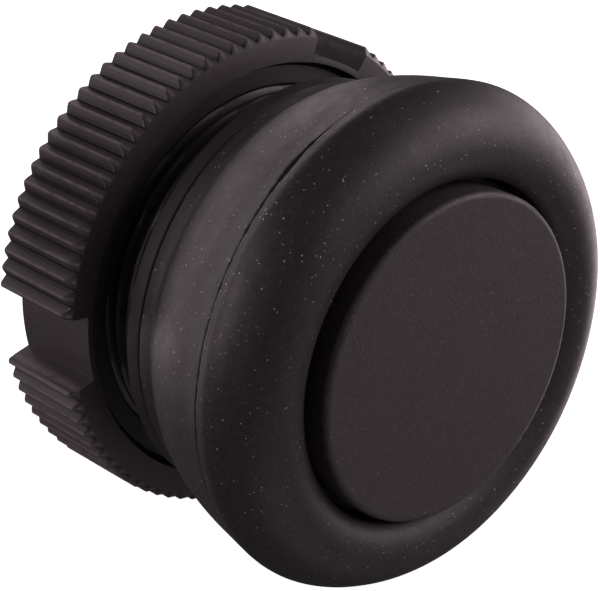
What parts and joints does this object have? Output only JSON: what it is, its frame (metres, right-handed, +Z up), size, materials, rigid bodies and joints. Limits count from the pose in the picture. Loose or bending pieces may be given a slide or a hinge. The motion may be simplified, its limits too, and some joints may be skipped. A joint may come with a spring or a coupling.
{
  "type": "booted industrial push button",
  "caption": "Panel-mounted push button with a bun-shaped rubber boot, flat centre cap, threaded neck and knurled spanner nut.",
  "frame": {"origin": "on the button's axis, in the plane where the gasket seats on the panel", "axes": "+Y from the pushed front towards the rear, behind the panel; +Z up"},
  "size_m": [0.029, 0.0289, 0.029],
  "materials": {
    "barrel_plastic": "moulded glass-filled polyamide, satin",
    "gasket_rubber": "plain matte rubber",
    "boot_rubber": "fine matte moulded rubber, dusty",
    "core_plastic": "moulded plastic",
    "cap_plastic": "fine-grained matte moulded plastic",
    "seal_rubber": "smooth rubber",
    "ring_plastic": "moulded plastic",
    "steel": "zinc-plated steel",
    "spring_steel": "bright drawn spring steel",
    "plunger_plastic": "natural acetal, satin",
    "foot_plastic": "moulded plastic",
    "bush_plastic": "natural polymer bearing, satin",
    "nut_plastic": "moulded plastic with a knurled rim, satin",
    "washer_plastic": "moulded plastic, satin"
  },
  "bodies": {
    "base": {"barrel": "barrel_plastic", "panel_gasket": "gasket_rubber", "boot": "boot_rubber", "return_spring": "spring_steel", "front_bush": "bush_plastic", "rear_bush": "bush_plastic", "stem_seal": "seal_rubber", "bumper_ring": "seal_rubber"},
    "button": {"button_core": "core_plastic", "centre_cap": "cap_plastic", "cap_seal": "seal_rubber", "boot_front_ring": "ring_plastic", "screw_washer": "steel", "core_screw": "steel", "plunger": "plunger_plastic", "plunger_foot": "foot_plastic", "foot_pin": "steel", "spring_washer": "steel", "stop_washer": "bush_plastic", "retaining_clip": "spring_steel", "guide_pins": "steel"},
    "washer_carriage": {"lock_washer": "washer_plastic"},
    "nut": {"fixing_nut": "nut_plastic"}
  },
  "joints": [
    {"name": "press", "type": "slide", "parent": "base", "child": "button", "axis": [0, 1, 0], "range_m": [0, 0.004], "stiffness_N_per_m": 900, "springref_m": -0.004, "deforming": ["boot", "return_spring"]},
    {"name": "washer_slide", "type": "slide", "parent": "base", "child": "washer_carriage", "axis": [0, 1, 0], "range_m": [-0.0016, 0.0021]},
    {"name": "nut_turn", "type": "hinge", "parent": "washer_carriage", "child": "nut", "pos_m": [0, 0.00555, 0], "axis": [0, 1, 0], "range_deg": [-576, 756]}
  ],
  "couplings": [
    {"joint": "washer_slide", "follows": "nut_turn", "m_per_rad": 0.00015915}
  ]
}
